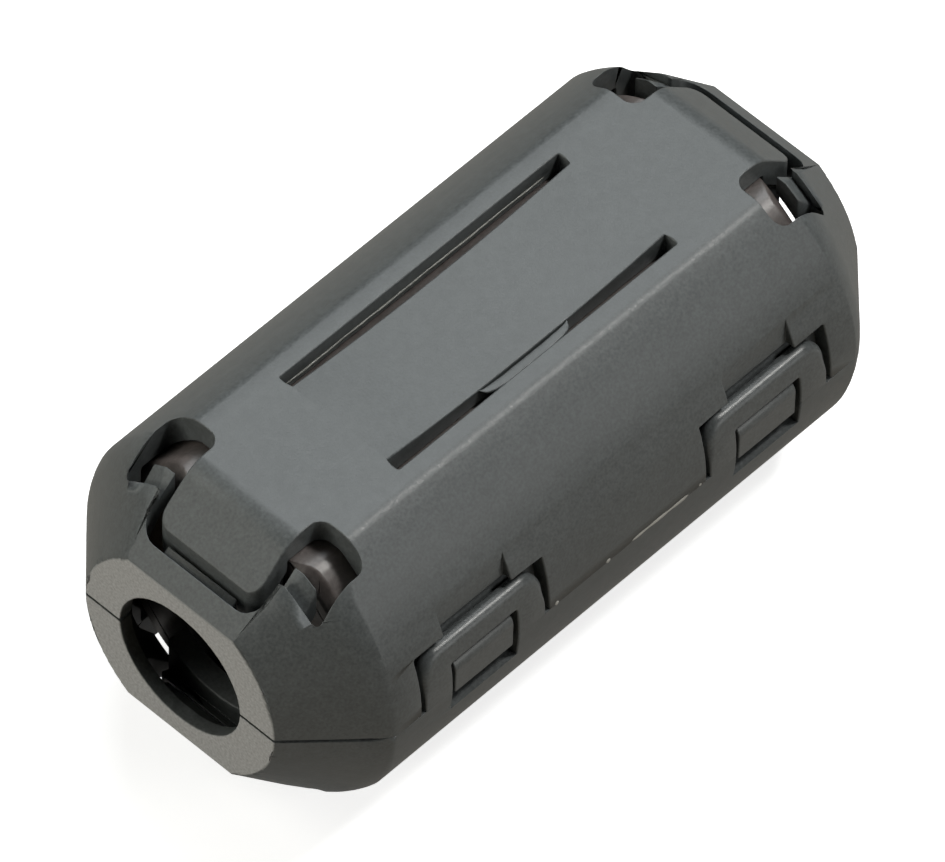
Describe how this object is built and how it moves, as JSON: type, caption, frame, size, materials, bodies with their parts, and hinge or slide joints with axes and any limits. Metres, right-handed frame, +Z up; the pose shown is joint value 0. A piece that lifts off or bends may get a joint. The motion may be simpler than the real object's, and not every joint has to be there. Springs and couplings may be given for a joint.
{
  "type": "clip on ferrite bead",
  "caption": "Clip-on ferrite bead for a thin round cable: ferrite half cores in a hinged nylon case that snaps shut.",
  "frame": {"origin": "middle of the cable bore, on its axis and on the parting plane of the closed case", "axes": "+X along the cable, -Y towards the side with the latches, +Z up through the flat top"},
  "size_m": [0.0256, 0.0132, 0.0116],
  "materials": {
    "nylon_case": "moulded dark grey nylon with a fine matte texture",
    "ferrite": "fired and tumbled ferrite, dark grey with a slight shine"
  },
  "bodies": {
    "base": {"lower_case": "nylon_case", "lower_core": "ferrite"},
    "lid": {"upper_case": "nylon_case", "upper_core": "ferrite"},
    "near_loop": {"near_latch": "nylon_case"},
    "far_loop": {"far_latch": "nylon_case"}
  },
  "joints": [
    {"name": "lid_hinge", "type": "hinge", "parent": "base", "child": "lid", "pos_m": [0, 0.00685, 0], "axis": [-1, 0, 0], "range_deg": [0, 180]},
    {"name": "near_loop_flex", "type": "hinge", "parent": "base", "child": "near_loop", "pos_m": [-0.0062, -0.0064, 0.00005], "axis": [1, 0, 0], "range_deg": [0, 24], "stiffness_Nm_per_rad": 0.01},
    {"name": "far_loop_flex", "type": "hinge", "parent": "base", "child": "far_loop", "pos_m": [0.0062, -0.0064, 0.00005], "axis": [1, 0, 0], "range_deg": [0, 24], "stiffness_Nm_per_rad": 0.01}
  ]
}
